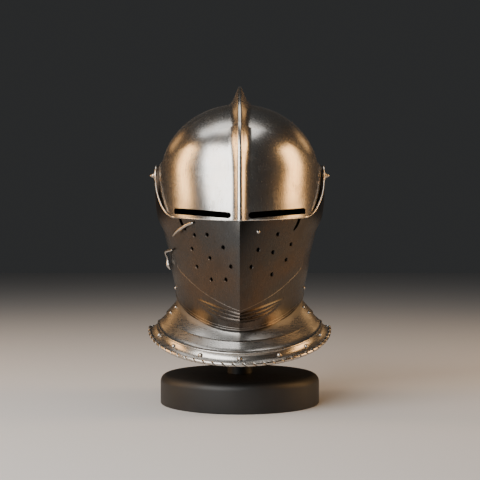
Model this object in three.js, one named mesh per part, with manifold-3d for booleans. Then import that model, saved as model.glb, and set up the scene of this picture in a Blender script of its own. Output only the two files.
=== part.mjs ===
// A sixteenth-century close helmet on a plain display stand.
// Millimetres, +Z up. The helmet faces -Y, and the origin is the middle of the stand's foot.
import * as THREE from "three";
import { mergeVertices } from "three/addons/utils/BufferGeometryUtils.js";
import Module from "manifold-3d";

const wasm = await Module();
wasm.setup();

// Driving dimensions
const PIVOT_Z = 272;
const DOME_RISE = 84.6;
const PLATE = 1.4;
const GAP = 0.3;
const FAR = 400;
const FACE_DEPTH = 190;
const FACE_NEAR = 10;

const STAND = {
  radius: 95, height: 35, edge: 9, edgeAngles: [0, 30, 60, 90],
  postRadius: 15, padRadius: 46, padTop: 350, baseSides: 32, postSides: 16,
};
// Head rest on top of the post: share of its radius, and how far below its top
const PAD_CURVE = [
  { share: 1, below: 24 },
  { share: 1, below: 20 },
  { share: 0.72, below: 8 },
  { share: 0.36, below: 1.5 },
];
const STUD = { base: 4.6, shank: 2.4, tip: 107.6, seat: 101.7, inner: 91, head: 4.8, bore: 2.8 };
const SLIT = { height: 6.8, innerX: 9.5, outerX: 74.5, innerZ: 222.6, outerZ: 228.2 };
const SLIT_END = { inset: 1.6, drop: 0.4 };
const BREATH_RADIUS = 2.1;
const BREATH_SIDES = 8;
const COMB = { flat: 1.4, power: 1.35 };
const RIVET = { radius: 2.7, small: 2.1, sides: 7 };
// Rivet head: share of its radius across, and along its axis
const RIVET_CURVE = [
  { across: 0, along: 0 },
  { across: 1, along: 0 },
  { across: 0.86, along: 0.45 },
  { across: 0.45, along: 0.74 },
  { across: 0, along: 0.8 },
];
const ROLL = 2.3;
const SEAM = 0.25;

// Shares of the half width, from the middle plane to the temple, where a shell has its columns
const COLUMNS = [0, 0.014, 0.04, 0.075, 0.13, 0.22, 0.34, 0.46, 0.58, 0.69, 0.78, 0.85, 0.91, 0.955, 0.985];

// Each shell is a stack of level sections. half is the half width, front and back are the
// reach from the pivot plane, and keel is 0 for a round front and 1 for a straight-sided one.
const SKULL = {
  dome: DOME_RISE,
  comb: [
    { angle: -40, rise: 3, foot: 7 },
    { angle: 20, rise: 6, foot: 8 },
    { angle: 50, rise: 15, foot: 11.5 },
    { angle: 90, rise: 21.5, foot: 12.5 },
    { angle: 130, rise: 20, foot: 12.5 },
    { angle: 175, rise: 12, foot: 11 },
    { angle: 215, rise: 3.5, foot: 9 },
    { angle: 245, rise: 1, foot: 8 },
  ],
  sections: [
    { z: 60, half: 68, front: 78, back: 80, keel: 0 },
    { z: 105, half: 69.5, front: 82, back: 82, keel: 0 },
    { z: 126, half: 71.5, front: 86, back: 84, keel: 0 },
    { z: 150, half: 76, front: 96, back: 92, keel: 0 },
    { z: 180, half: 82, front: 106, back: 102, keel: 0 },
    { z: 210, half: 88, front: 112, back: 109.5, keel: 0 },
    { z: 240, half: 92.4, front: 115, back: 113, keel: 0 },
    { z: 272, half: 94, front: 115.5, back: 113.5, keel: 0 },
  ],
};
const VISOR = {
  dome: DOME_RISE + 2.6,
  comb: [
    { angle: -40, rise: 5, foot: 9 },
    { angle: -20, rise: 5.2, foot: 9 },
    { angle: 0, rise: 6, foot: 9.5 },
    { angle: 20, rise: 8.2, foot: 11.5 },
    { angle: 45, rise: 11.5, foot: 14 },
  ],
  sections: [
    { z: 60, half: 80, front: 128, back: 90, keel: 0.12 },
    { z: 200, half: 92.4, front: 130, back: 90, keel: 0.12 },
    { z: 216, half: 94, front: 129.5, back: 100, keel: 0.12 },
    { z: 240, half: 96, front: 127.5, back: 110, keel: 0.1 },
    { z: 272, half: 96.9, front: 122, back: 116, keel: 0.06 },
  ],
};
const UPPER_BEVOR = {
  dome: DOME_RISE + 8,
  comb: [],
  sections: [
    { z: 60, half: 73, front: 108, back: 90, keel: 0.46 },
    { z: 100, half: 74, front: 114.5, back: 90, keel: 0.46 },
    { z: 117, half: 75.8, front: 118, back: 90, keel: 0.46 },
    { z: 140, half: 79.6, front: 121, back: 95, keel: 0.45 },
    { z: 159, half: 84, front: 123.5, back: 100, keel: 0.42 },
    { z: 182, half: 88.4, front: 125.8, back: 105, keel: 0.35 },
    { z: 202, half: 93, front: 127, back: 110, keel: 0.27 },
    { z: 222, half: 98.4, front: 127, back: 112, keel: 0.18 },
    { z: 244, half: 101.1, front: 126, back: 114, keel: 0.14 },
    { z: 272, half: 101.4, front: 122, back: 116, keel: 0.1 },
  ],
};
const LOWER_BEVOR = {
  dome: DOME_RISE + 6,
  comb: [],
  sections: [
    { z: 60, half: 72, front: 92, back: 88, keel: 0.05 },
    { z: 94, half: 73.5, front: 101, back: 88, keel: 0.1 },
    { z: 104, half: 74.3, front: 107.5, back: 88, keel: 0.3 },
    { z: 117, half: 75.2, front: 114.3, back: 88, keel: 0.46 },
    { z: 140, half: 77.8, front: 117.6, back: 92, keel: 0.465 },
    { z: 159, half: 81.6, front: 119.9, back: 97, keel: 0.44 },
    { z: 182, half: 85.3, front: 121.9, back: 102, keel: 0.37 },
    { z: 202, half: 90.3, front: 122.7, back: 107, keel: 0.29 },
    { z: 222, half: 95.7, front: 122.7, back: 110, keel: 0.2 },
    { z: 244, half: 98.4, front: 121.5, back: 112, keel: 0.15 },
    { z: 272, half: 98.8, front: 118.5, back: 114, keel: 0.11 },
  ],
};

// Rings of the gorget, from the neck edge to the rim: half width and level at the seam,
// where the rear plates sit a little inside the front ones, and reach and level front and rear
const RINGS = {
  neck: {
    side: 71.8, rearSide: 69.1, sideZ: 127.3, front: 96.9, frontZ: 96.2,
    rear: 80.2, rearZ: 127.5, keel: 0.1,
  },
  lameEdge: {
    side: 88, rearSide: 86, sideZ: 109, front: 104.5, frontZ: 84,
    rear: 91, rearZ: 107, keel: 0.06,
  },
  tuck: {
    side: 83.5, rearSide: 81.5, sideZ: 112, front: 100.5, frontZ: 88,
    rear: 87.5, rearZ: 110.5, keel: 0.06,
  },
  bead: {
    side: 97.4, rearSide: 95.6, sideZ: 98, front: 110, frontZ: 70.5,
    rear: 98.5, rearZ: 94, keel: 0,
  },
  rim: {
    side: 107.5, rearSide: 106, sideZ: 90, front: 115.5, frontZ: 58.5,
    rear: 108, rearZ: 82, keel: 0,
  },
};

// Outlines seen from the side, as distance forward of the pivots and level
const SKULL_OUTLINE = [
  [130, 312], [104, 304], [70, 288], [40, 276], [18, 262], [8, 246], [4, 200], [3, 160],
  [2, 131], [-20, 129.5], [-50, 128], [-90, 127.5], [-150, 127.5], [-150, 420], [130, 420],
];
const VISOR_OUTLINE = [
  [160, 214.8], [130, 216.6], [93, 219.4], [78, 220.2], [66, 220.2], [57, 222.2], [46, 228.5],
  [29, 243], [12, 256], [0, 260], [-9, 264], [-12, 272], [-9, 280], [0, 284], [14, 284],
  [44, 287], [79, 297], [92, 309], [100, 324], [160, 352],
];
const UPPER_BEVOR_OUTLINE = [
  [160, 99], [118, 117], [101, 125.5], [80, 137], [59, 152.5], [50, 159], [46.5, 166],
  [48, 175], [50, 183], [49, 190], [43, 198], [33, 207.5], [19, 218.5], [4, 230], [-8, 243],
  [-13.5, 257], [-14.5, 272], [-10, 281], [0, 285], [9, 281], [14, 268], [24, 256], [38, 243],
  [51, 230.6], [61, 224.2], [73, 221.4], [84, 219.8], [100, 218.6], [160, 218.1],
];
const LOWER_BEVOR_OUTLINE = [
  [160, 75], [101, 94], [0.6, 126.5],
  [-3, 140], [-6, 170], [-9, 210], [-12, 250], [-13, 272], [-9, 281], [0, 285], [9, 281],
  [13, 270], [16, 254], [24, 232], [38, 211], [62, 199], [90, 192], [160, 188],
];

// Breath holes, as places from the middle plane and level: a ring with one in the middle
const BREATHS = [
  [-51, 201], [-36.5, 201.5], [-18.5, 187.5], [-10, 166.5], [-15.5, 152], [-32, 151.5],
  [-48.5, 165.5], [-54, 185.5], [-33.5, 175.5],
  [42.5, 202], [58, 190.5], [52.5, 173], [36, 157], [12.7, 166], [20.5, 185], [37, 182],
];

// Rivets of the flange, as angles from the front round the neck
const RIVET_ANGLES = {
  front: [-70, -49, -26, 0, 26, 49, 70],
  rear: [110, 133, 156, 180, 204, 227, 250],
};

// Rivets of the lame's ends, the cheeks and the upper bevor's brow
const LAME_RIVETS = { turn: 79, shares: [0.36, 0.74] };
const CHEEK_RIVET = { z: 138, turn: 79 };
const BROW_RIVET = { z: 204.6, turn: 12.5 };

// Slots in the upper bevor's upper rim, which narrow as they bend inwards
const SLOT_OUTLINE = [[67.4, 224], [63.2, 212], [59.8, 206.6], [61, 205.6], [66.2, 211.4], [70.4, 224]];

// Turns and levels of the bevors' meshes, and angles of the skull's and the visor's rows
const BEVOR_TURNS = [0, 8, 17, 26, 35, 44, 53, 62, 71, 80, 88, 97, 120, 150, 180, -150, -120, -97,
  -88, -80, -71, -62, -53, -44, -35, -26, -17, -8];
const LOWER_LEVELS = [60, 88, 94, 99, 104, 110, 117, 128, 140, 159, 182, 202, 222, 244, 258, 272, 280, 288];
const UPPER_LEVELS = [80, 110, 124, 140, 159, 171, 182, 192, 202, 212, 222, 233, 244, 258, 272, 280, 288];
const SKULL_ROWS = { from: 16, to: 246, step: 15.3, coarse: 24 };
const VISOR_ROWS = { from: -30, to: 36, step: 6.6, coarse: 24 };

// Room for the opening visor in the upper bevor: clearance each way, and the lifts it is tried at
const VISOR_ROOM = { clear: 0.6, lifts: [0, 2.5, 5, 7.5, 10] };
const LOWER_EDGE_POINTS = 9;

// Lifting peg and swivel hook: level, turn from the front, how far out of the face, and radius
const PEG = [
  { z: 215.6, turn: -31.5, proud: 1.7, radius: 1.3 },
  { z: 212.6, turn: -37.5, proud: 3.4, radius: 1.8 },
  { z: 206.5, turn: -45.5, proud: 5.6, radius: 1.7 },
  { z: 201, turn: -50.5, proud: 6.4, radius: 0.5 },
];
const HOOK_HEAD = { z: 166, turn: -80 };
const HOOK = [
  { z: 159.5, turn: -79.5, proud: 2, radius: 0.6 },
  { z: 166, turn: -80, proud: 3.8, radius: 1.9 },
  { z: 173, turn: -80, proud: 3.4, radius: 1 },
  { z: 180, turn: -77.5, proud: 5, radius: 1.1 },
  { z: 183.6, turn: -68, proud: 6.8, radius: 1.3 },
  { z: 185.2, turn: -57.5, proud: 6.6, radius: 0.9 },
];

const HOOK_STUD = [
  { across: 0, along: GAP },
  { across: 1.8, along: GAP },
  { across: 1.8, along: 1.5 },
  { across: 2.7, along: 2.6 },
  { across: 2.7, along: 4.4 },
  { across: 1.7, along: 6 },
  { across: 0, along: 6.4 },
];

// Gorget plates in section: ring, how far inside it, and how far above
const LAME_CORNERS = [
  { ring: RINGS.neck, inset: 0, lift: 0 },
  { ring: RINGS.lameEdge, inset: 0, lift: 0 },
  { ring: RINGS.lameEdge, inset: PLATE, lift: -0.5 },
  { ring: RINGS.neck, inset: PLATE, lift: -0.5 },
];
const FLANGE_CORNERS = [
  { ring: RINGS.tuck, inset: 0.4, lift: -1.2 },
  { ring: RINGS.bead, inset: 0.9, lift: 0.6 },
  { ring: RINGS.bead, inset: -0.5, lift: 0.2 },
  { ring: RINGS.bead, inset: -1.4, lift: -1 },
  { ring: RINGS.rim, inset: ROLL, lift: ROLL * 0.7 },
  { ring: RINGS.rim, inset: 0.5, lift: ROLL * 0.7 },
  { ring: RINGS.rim, inset: -ROLL * 0.4, lift: 0 },
  { ring: RINGS.rim, inset: 0.5, lift: -ROLL * 0.8 },
  { ring: RINGS.rim, inset: ROLL * 1.2, lift: -ROLL * 0.8 },
  { ring: RINGS.bead, inset: 0.8, lift: -1.8 },
  { ring: RINGS.tuck, inset: 0.4 + PLATE, lift: -2 },
];
const BAND_STEPS = { frontLame: 20, rearLame: 14, frontFlange: 24, rearFlange: 16 };

const MATERIALS = {
  steel: { color: 0xb4b2ae, roughness: 0.34, metalness: 1 },
  brightSteel: { color: 0xc9c7c2, roughness: 0.28, metalness: 1 },
  stand: { color: 0x191715, roughness: 0.62, metalness: 0 },
};

const radians = (degrees) => (degrees * Math.PI) / 180;

// Value of a table's column at a place between its rows, eased so that the slope is even
function between(rows, key, place, column) {
  const upper = rows.findIndex((row) => row[key] >= place);
  if (upper === 0) return rows[0][column];
  if (upper < 0) return rows[rows.length - 1][column];
  const low = rows[upper - 1];
  const high = rows[upper];
  const share = (place - low[key]) / (high[key] - low[key]);
  const slope = (index) => {
    const before = rows[Math.max(index - 1, 0)];
    const after = rows[Math.min(index + 1, rows.length - 1)];
    return (after[column] - before[column]) / (after[key] - before[key]);
  };
  const step = high[key] - low[key];
  const ease = share * share * (3 - 2 * share);
  const leave = share * (1 - share) * (1 - share) * step;
  const arrive = share * share * (share - 1) * step;
  return low[column] * (1 - ease) + high[column] * ease + slope(upper - 1) * leave + slope(upper) * arrive;
}

// True where a point lies inside a shell's outer face moved in by inset
function within(shell, inset, x, y, z) {
  const top = shell.sections[shell.sections.length - 1];
  const level = Math.min(z, PIVOT_Z);
  const rise = Math.max(z - PIVOT_Z, 0) / (shell.dome - inset);
  if (rise >= 1) return false;
  const shrink = Math.sqrt(1 - rise * rise);
  const read = (column) => (z >= PIVOT_Z ? top[column] : between(shell.sections, "z", level, column));
  const half = (read("half") - inset) * shrink;
  const across = Math.abs(x) / half;
  if (across >= 1) return false;
  const reach = ((y < 0 ? read("front") : read("back")) - inset) * shrink;
  const keel = y < 0 ? read("keel") : 0;
  const depth = (1 - keel) * Math.sqrt(1 - across * across) + keel * (1 - across);
  return Math.abs(y) < reach * depth;
}

// Distance from the pivot axis to the shell's face, in the half plane at an angle from the front
function distance(shell, inset, x, angle) {
  let near = 0;
  let far = FAR;
  for (let turn = 0; turn < 20; turn += 1) {
    const middle = (near + far) / 2;
    const y = -middle * Math.cos(radians(angle));
    const z = PIVOT_Z + middle * Math.sin(radians(angle));
    if (z > 30 && within(shell, inset, x, y, z)) near = middle;
    else far = middle;
  }
  return near;
}

// Height of the comb or ridge over a shell: a thin flat edge that flares into the plate
function combRise(shell, inset, x, angle) {
  if (shell.comb.length === 0) return 0;
  const rise = between(shell.comb, "angle", angle, "rise");
  const foot = between(shell.comb, "angle", angle, "foot");
  const away = Math.max(Math.abs(x) + inset - COMB.flat, 0) / foot;
  return away < 1 ? Math.max(rise * (1 - away) ** COMB.power - inset, 0) : 0;
}

// Closed surface of a shell about the pivot axis, with its rows fine between two angles
function closedSurface(shell, inset, rows) {
  const half = shell.sections[shell.sections.length - 1].half - inset;
  const shares = [...COLUMNS.slice(1).reverse().map((share) => -share), ...COLUMNS];
  const positions = [];
  for (const share of shares) {
    for (const angle of rows) {
      const x = share * half;
      const reach = distance(shell, inset, x, angle) + combRise(shell, inset, x, angle);
      positions.push(x, -reach * Math.cos(radians(angle)), PIVOT_Z + reach * Math.sin(radians(angle)));
    }
  }
  const leftPole = positions.length / 3;
  positions.push(-half, 0, PIVOT_Z, half, 0, PIVOT_Z);
  const faces = [];
  const around = rows.length;
  for (let row = 0; row < around; row += 1) {
    const next = (row + 1) % around;
    for (let column = 0; column < shares.length - 1; column += 1) {
      const a = column * around + row;
      const b = column * around + next;
      faces.push(a, a + around, b, b, a + around, b + around);
    }
    const last = (shares.length - 1) * around;
    faces.push(leftPole, row, next, leftPole + 1, last + next, last + row);
  }
  const geometry = new THREE.BufferGeometry();
  geometry.setAttribute("position", new THREE.Float32BufferAttribute(positions, 3));
  geometry.setIndex(faces);
  return geometry;
}

// Point of a shell's face on a level section, at a turn from the front
function sectionPoint(shell, inset, z, turn) {
  const top = shell.sections[shell.sections.length - 1];
  const read = (column) => (z >= PIVOT_Z ? top[column] : between(shell.sections, "z", z, column));
  const rise = Math.max(z - PIVOT_Z, 0) / shell.dome;
  const shrink = Math.sqrt(1 - rise * rise);
  const cosine = Math.cos(radians(turn));
  const across = Math.sin(radians(turn));
  const keel = cosine > 0 ? read("keel") : 0;
  const reach = ((cosine > 0 ? read("front") : read("back")) - inset) * shrink;
  const depth = (1 - keel) * cosine + keel * Math.sign(cosine) * (1 - Math.abs(across));
  return new THREE.Vector3((read("half") - inset) * shrink * across, -reach * depth, z);
}

// Outward direction of a shell's face there
function sectionNormal(shell, z, turn) {
  const sideways = sectionPoint(shell, 0, z, turn + 1).sub(sectionPoint(shell, 0, z, turn - 1));
  const upwards = sectionPoint(shell, 0, z + 2, turn).sub(sectionPoint(shell, 0, z - 2, turn));
  return sideways.cross(upwards).normalize();
}

// Closed surface through a shell's level sections, flat at its top and bottom
function levelSurface(shell, inset, levels, turns) {
  const positions = [];
  for (const z of levels) {
    for (const turn of turns) positions.push(...sectionPoint(shell, inset, z, turn).toArray());
  }
  const bottom = positions.length / 3;
  positions.push(0, 0, levels[0], 0, 0, levels[levels.length - 1]);
  const around = turns.length;
  const last = (levels.length - 1) * around;
  const faces = [];
  for (let column = 0; column < around; column += 1) {
    const next = (column + 1) % around;
    for (let level = 0; level < levels.length - 1; level += 1) {
      const a = level * around + column;
      const b = level * around + next;
      faces.push(a, b, a + around, b, b + around, a + around);
    }
    faces.push(bottom, next, column, bottom + 1, last + column, last + next);
  }
  const geometry = new THREE.BufferGeometry();
  geometry.setAttribute("position", new THREE.Float32BufferAttribute(positions, 3));
  geometry.setIndex(faces);
  return geometry;
}

// Angles of the rows round the pivot axis: fine from one angle to another, coarse elsewhere
function rowAngles({ from, to, step, coarse: wide }) {
  const fine = Math.round((to - from) / step);
  const rest = 360 - (to - from);
  const coarse = Math.round(rest / wide);
  const angles = [];
  for (let index = 0; index < fine; index += 1) angles.push(from + ((to - from) * index) / fine);
  for (let index = 0; index < coarse; index += 1) angles.push(to + (rest * index) / coarse);
  return angles;
}

// Closed mesh as a solid that can be joined and cut
function solid(geometry) {
  const bare = geometry.clone();
  bare.deleteAttribute("normal");
  bare.deleteAttribute("uv");
  const merged = mergeVertices(bare, 1e-4);
  return new wasm.Manifold(new wasm.Mesh({
    numProp: 3,
    vertProperties: new Float32Array(merged.attributes.position.array),
    triVerts: new Uint32Array(merged.index.array),
  }));
}

// Geometry of a joined or cut solid
function geometryOf(body) {
  const mesh = body.getMesh();
  const geometry = new THREE.BufferGeometry();
  geometry.setAttribute("position", new THREE.Float32BufferAttribute(mesh.vertProperties, 3));
  geometry.setIndex(Array.from(mesh.triVerts));
  return geometry;
}

// Prism across the helmet from an outline seen from the side
function sidePrism(outline) {
  const shape = new THREE.Shape(outline.map(([forward, level]) => new THREE.Vector2(-forward, level)));
  const geometry = new THREE.ExtrudeGeometry(shape, { depth: FAR, bevelEnabled: false });
  geometry.translate(0, 0, -FAR / 2);
  geometry.applyMatrix4(new THREE.Matrix4().set(0, 0, 1, 0, 1, 0, 0, 0, 0, 1, 0, 0, 0, 0, 0, 1));
  return solid(geometry);
}

// Prism from front to back, from an outline seen from the front
function frontPrism(outline, nearY, farY) {
  const shape = new THREE.Shape(outline.map(([x, level]) => new THREE.Vector2(x, level)));
  const geometry = new THREE.ExtrudeGeometry(shape, { depth: farY - nearY, bevelEnabled: false });
  geometry.rotateX(Math.PI / 2);
  geometry.translate(0, farY, 0);
  return solid(geometry);
}

// Plate of a shell inside a side outline, with the pivot bores through it
function plate(surface, shell, outline, ...grid) {
  const outer = solid(surface(shell, 0, ...grid));
  const inner = solid(surface(shell, PLATE, ...grid));
  const bore = new THREE.CylinderGeometry(STUD.bore, STUD.bore, FAR, 12);
  bore.rotateZ(Math.PI / 2);
  bore.translate(0, 0, PIVOT_Z);
  return outer.subtract(inner).intersect(sidePrism(outline)).subtract(solid(bore));
}

// Point of a gorget ring at an angle from the front, moved in by inset
function ringPoint(ring, angle, inset) {
  const cosine = Math.cos(radians(angle));
  const front = cosine > 0;
  const reach = (front ? ring.front : ring.rear) - inset;
  const level = front ? ring.frontZ : ring.rearZ;
  const keel = front ? ring.keel : 0;
  const across = Math.abs(Math.sin(radians(angle)));
  return [
    ((front ? ring.side : ring.rearSide) - inset) * Math.sin(radians(angle)),
    -reach * ((1 - keel) * cosine + keel * Math.sign(cosine) * (1 - across)),
    ring.sideZ + (level - ring.sideZ) * Math.abs(cosine),
  ];
}

// Part of a gorget plate between two angles: a closed band through its outline's corners
function ringBand(corners, from, to, steps) {
  const positions = [];
  for (let step = 0; step <= steps; step += 1) {
    const angle = from + ((to - from) * step) / steps;
    for (const { ring, inset, lift } of corners) {
      const [x, y, z] = ringPoint(ring, angle, inset);
      positions.push(x, y, z + lift);
    }
  }
  const count = corners.length;
  const faces = [];
  for (let step = 0; step < steps; step += 1) {
    for (let corner = 0; corner < count; corner += 1) {
      const a = step * count + corner;
      const b = step * count + ((corner + 1) % count);
      faces.push(a, a + count, b, b, a + count, b + count);
    }
  }
  const end = steps * count;
  const flat = corners.map(({ ring, inset, lift }) => {
    const [x, y, z] = ringPoint(ring, from + 45, inset);
    return new THREE.Vector2(Math.hypot(x, y), z + lift);
  });
  const turned = THREE.ShapeUtils.area(flat) < 0;
  for (const [a, b, c] of THREE.ShapeUtils.triangulateShape(flat, [])) {
    if (turned) faces.push(a, c, b, end + a, end + b, end + c);
    else faces.push(a, b, c, end + a, end + c, end + b);
  }
  const geometry = new THREE.BufferGeometry();
  geometry.setAttribute("position", new THREE.Float32BufferAttribute(positions, 3));
  geometry.setIndex(faces);
  return asSolid(geometry);
}

// Geometry with its faces turned round
function flipped(geometry) {
  const index = geometry.index.array;
  for (let face = 0; face < index.length; face += 3) {
    [index[face], index[face + 1]] = [index[face + 1], index[face]];
  }
  return geometry;
}

const group = new THREE.Group();

// Named mesh in the group with a finish
function addMesh(name, geometry, finish) {
  const mesh = new THREE.Mesh(geometry, new THREE.MeshStandardMaterial(MATERIALS[finish]));
  mesh.name = name;
  group.add(mesh);
  return mesh;
}

// Stand
const edgeArc = STAND.edgeAngles.map((angle) => new THREE.Vector2(
  STAND.radius - STAND.edge + STAND.edge * Math.cos(radians(angle)),
  STAND.height - STAND.edge + STAND.edge * Math.sin(radians(angle)),
));
const baseProfile = [new THREE.Vector2(0, 0), new THREE.Vector2(STAND.radius, 0), ...edgeArc,
  new THREE.Vector2(0, STAND.height)];
const base = new THREE.LatheGeometry(baseProfile, STAND.baseSides);
base.rotateX(Math.PI / 2);
addMesh("stand_base", base, "stand");

const padTurn = STAND.padTop - PAD_CURVE[0].below;
const postProfile = [
  new THREE.Vector2(0, STAND.height + GAP),
  new THREE.Vector2(STAND.postRadius, STAND.height + GAP),
  new THREE.Vector2(STAND.postRadius, padTurn),
  ...PAD_CURVE.map(({ share, below }) => new THREE.Vector2(STAND.padRadius * share, STAND.padTop - below)),
  new THREE.Vector2(0, STAND.padTop),
];
const post = new THREE.LatheGeometry(postProfile, STAND.postSides);
post.rotateX(Math.PI / 2);
addMesh("stand_post", post, "stand");

// Skull with its comb
addMesh("skull", geometryOf(plate(closedSurface, SKULL, SKULL_OUTLINE, rowAngles(SKULL_ROWS))), "steel");

// Visor with its two slits
const visorRows = rowAngles(VISOR_ROWS);
const slitOutline = (side) => [
  [SLIT.innerX * side, SLIT.innerZ],
  [(SLIT.innerX + SLIT_END.inset) * side, SLIT.innerZ - SLIT.height / 2 + SLIT_END.drop],
  [SLIT.outerX * side, SLIT.outerZ - SLIT.height / 2],
  [SLIT.outerX * side, SLIT.outerZ + SLIT.height / 2],
  [(SLIT.innerX + SLIT_END.inset) * side, SLIT.innerZ + SLIT.height / 2],
];
let visor = plate(closedSurface, VISOR, VISOR_OUTLINE, visorRows);
for (const side of [-1, 1]) visor = visor.subtract(frontPrism(slitOutline(side), -FACE_DEPTH, -FACE_NEAR));
addMesh("visor", geometryOf(visor), "brightSteel");

// Room that the visor needs as it opens, taken out of the upper bevor
function visorRoom() {
  const { clear, lifts } = VISOR_ROOM;
  const swollen = {
    ...VISOR,
    sections: VISOR.sections.map((row) => ({
      ...row, half: row.half + clear, front: row.front + clear, back: row.back + clear,
    })),
  };
  const outline = VISOR_OUTLINE.map(([forward, level], index) => (
    [forward, index < LOWER_EDGE_POINTS ? level - clear : level]));
  const outer = solid(closedSurface(swollen, 0, visorRows));
  const inner = solid(closedSurface(swollen, PLATE + clear * 2, visorRows));
  const room = outer.subtract(inner).intersect(sidePrism(outline));
  return lifts.map((lift) => room
    .translate([0, 0, -PIVOT_Z])
    .rotate([-lift, 0, 0])
    .translate([0, 0, PIVOT_Z]));
}

let upperBevor = plate(levelSurface, UPPER_BEVOR, UPPER_BEVOR_OUTLINE, UPPER_LEVELS, BEVOR_TURNS);
for (const room of visorRoom()) upperBevor = upperBevor.subtract(room);
for (const [x, level] of BREATHS) {
  const drill = new THREE.CylinderGeometry(BREATH_RADIUS, BREATH_RADIUS, FACE_DEPTH, BREATH_SIDES);
  drill.translate(x, -FACE_DEPTH / 2, level);
  upperBevor = upperBevor.subtract(solid(drill));
}
for (const side of [-1, 1]) {
  const slot = SLOT_OUTLINE.map(([x, level]) => [x * side, level]);
  upperBevor = upperBevor.subtract(frontPrism(slot, -FACE_DEPTH, -FACE_NEAR));
}
addMesh("upper_bevor", geometryOf(upperBevor), "steel");

const lowerBevor = plate(levelSurface, LOWER_BEVOR, LOWER_BEVOR_OUTLINE, LOWER_LEVELS, BEVOR_TURNS);
addMesh("lower_bevor", geometryOf(lowerBevor), "steel");

// Pivot studs: a pointed head outside, a shank through every plate and a flat head inside
const studProfile = [
  [STUD.inner - 1.6, 0], [STUD.inner - 1.6, STUD.head], [STUD.inner, STUD.head], [STUD.inner, STUD.shank],
  [STUD.seat, STUD.shank], [STUD.seat, STUD.base], [STUD.seat + 1.2, STUD.base],
  [STUD.seat + 2.4, STUD.base * 0.55], [STUD.tip, 0],
].map(([along, radius]) => new THREE.Vector2(radius, along));
for (const [side, name] of [[1, "pivot_stud_left"], [-1, "pivot_stud_right"]]) {
  const stud = new THREE.LatheGeometry(studProfile, 12);
  stud.rotateZ((-Math.PI / 2) * side);
  stud.translate(0, 0, PIVOT_Z);
  addMesh(name, stud, "brightSteel");
}

// Gorget plates, in front on the lower bevor and behind on the skull
const frontArc = [-90 + SEAM, 90 - SEAM];
const rearArc = [90 + SEAM, 270 - SEAM];
for (const [name, corners, arc, steps] of [
  ["front_lame", LAME_CORNERS, frontArc, BAND_STEPS.frontLame],
  ["rear_lame", LAME_CORNERS, rearArc, BAND_STEPS.rearLame],
  ["front_flange", FLANGE_CORNERS, frontArc, BAND_STEPS.frontFlange],
  ["rear_flange", FLANGE_CORNERS, rearArc, BAND_STEPS.rearFlange],
]) addMesh(name, geometryOf(ringBand(corners, ...arc, steps)), "steel");

// Domed rivet standing on a face at a point
function addRivet(name, point, normal, radius) {
  const profile = RIVET_CURVE.map(({ across, along }) => new THREE.Vector2(across * radius, along * radius));
  const rivet = new THREE.LatheGeometry(profile, RIVET.sides);
  rivet.applyQuaternion(new THREE.Quaternion().setFromUnitVectors(new THREE.Vector3(0, 1, 0), normal));
  const seat = point.clone().addScaledVector(normal, GAP);
  rivet.translate(seat.x, seat.y, seat.z);
  addMesh(name, rivet, "brightSteel");
}

// Place on a gorget plate between two of its corners, at an angle from the front
function bandPlace(upper, lower, share, angle) {
  const at = (turn, part) => {
    const high = ringPoint(upper.ring, turn, upper.inset);
    const low = ringPoint(lower.ring, turn, lower.inset);
    high[2] += upper.lift;
    low[2] += lower.lift;
    return new THREE.Vector3(...high).lerp(new THREE.Vector3(...low), part);
  };
  const sideways = at(angle + 2, share).sub(at(angle - 2, share));
  const upwards = at(angle, share - 0.2).sub(at(angle, share + 0.2));
  return { point: at(angle, share), normal: sideways.cross(upwards).normalize() };
}

for (const [index, angle] of RIVET_ANGLES.front.entries()) {
  const { point, normal } = bandPlace(FLANGE_CORNERS[3], FLANGE_CORNERS[4], 0.5, angle);
  addRivet(`flange_rivet_${index + 1}`, point, normal, RIVET.radius);
}
for (const [index, angle] of RIVET_ANGLES.rear.entries()) {
  const { point, normal } = bandPlace(FLANGE_CORNERS[3], FLANGE_CORNERS[4], 0.5, angle);
  addRivet(`rear_flange_rivet_${index + 1}`, point, normal, RIVET.radius);
}
for (const [side, word] of [[1, "left"], [-1, "right"]]) {
  for (const [index, share] of LAME_RIVETS.shares.entries()) {
    const { point, normal } = bandPlace(LAME_CORNERS[0], LAME_CORNERS[1], share, LAME_RIVETS.turn * side);
    addRivet(`lame_rivet_${word}_${index + 1}`, point, normal, RIVET.small);
  }
  const { z, turn } = CHEEK_RIVET;
  const cheek = sectionPoint(LOWER_BEVOR, 0, z, turn * side);
  addRivet(`cheek_rivet_${word}`, cheek, sectionNormal(LOWER_BEVOR, z, turn * side), RIVET.small);
}
const browPoint = sectionPoint(UPPER_BEVOR, 0, BROW_RIVET.z, BROW_RIVET.turn);
const browNormal = sectionNormal(UPPER_BEVOR, BROW_RIVET.z, BROW_RIVET.turn);
addRivet("bevor_rivet", browPoint, browNormal, RIVET.small);

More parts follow.
